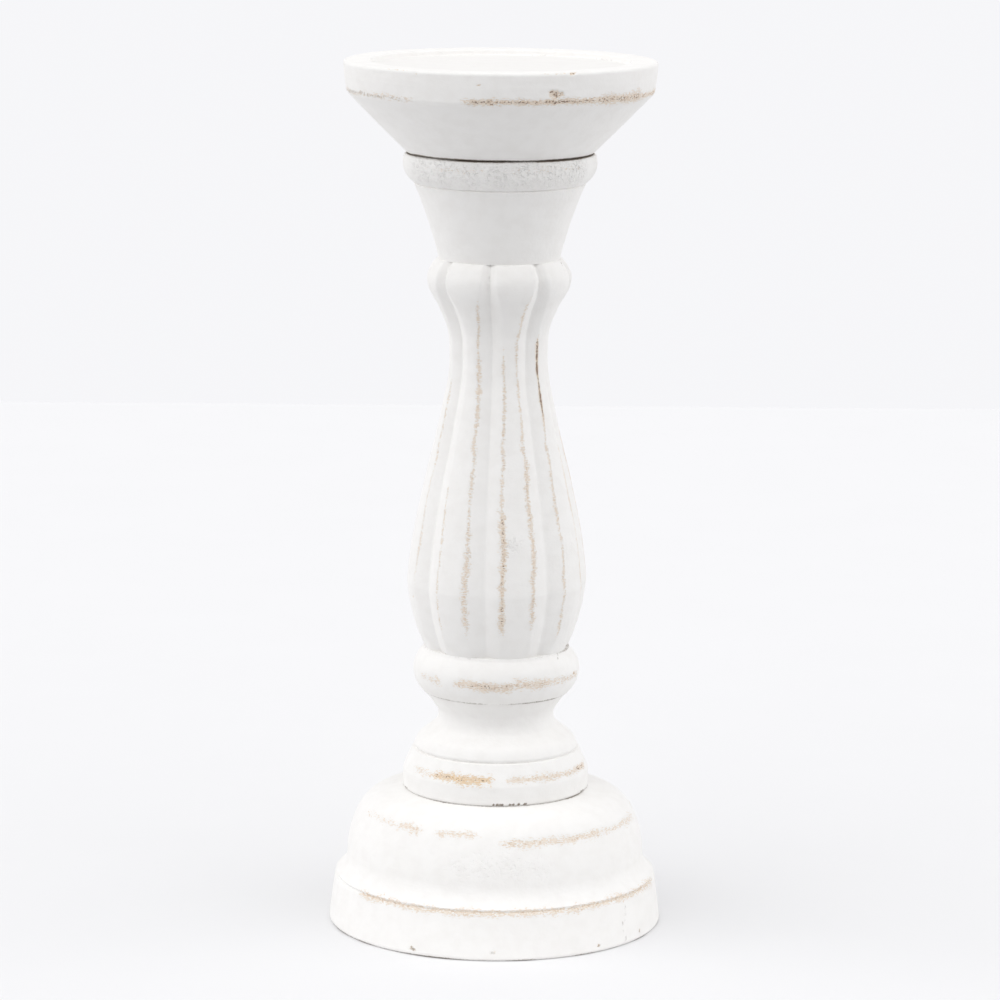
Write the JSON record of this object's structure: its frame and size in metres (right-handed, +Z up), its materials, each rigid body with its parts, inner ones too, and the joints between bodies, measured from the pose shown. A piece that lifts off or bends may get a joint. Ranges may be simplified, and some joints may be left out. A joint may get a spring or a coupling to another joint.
{
  "type": "candlestick",
  "caption": "Turned and fluted wooden candlestick in worn white paint, with a bell-shaped plinth, a ribbed stem and a wide dish for a pillar candle.",
  "frame": {"origin": "centre of the foot, on the surface that the candlestick stands on", "axes": "+Z up along the axis of turning, from the foot to the candle dish; -Y towards the viewer"},
  "size_m": [0.1156, 0.1156, 0.3],
  "materials": {
    "chalk_white_paint": "matt chalk paint, rubbed through to tan wood on the edges",
    "bare_beech": "bare sanded wood",
    "zinc_steel": "zinc plated",
    "brown_felt": "pressed felt"
  },
  "bodies": {
    "root": {"plinth": "chalk_white_paint", "base_felt": "brown_felt", "base_screw": "zinc_steel", "screw_washer": "zinc_steel", "lower_stem": "chalk_white_paint", "body_dowel": "bare_beech", "fluted_body": "chalk_white_paint", "capital_dowel": "bare_beech", "capital": "chalk_white_paint", "dish_dowel": "bare_beech", "candle_dish": "chalk_white_paint"}
  },
  "joints": []
}
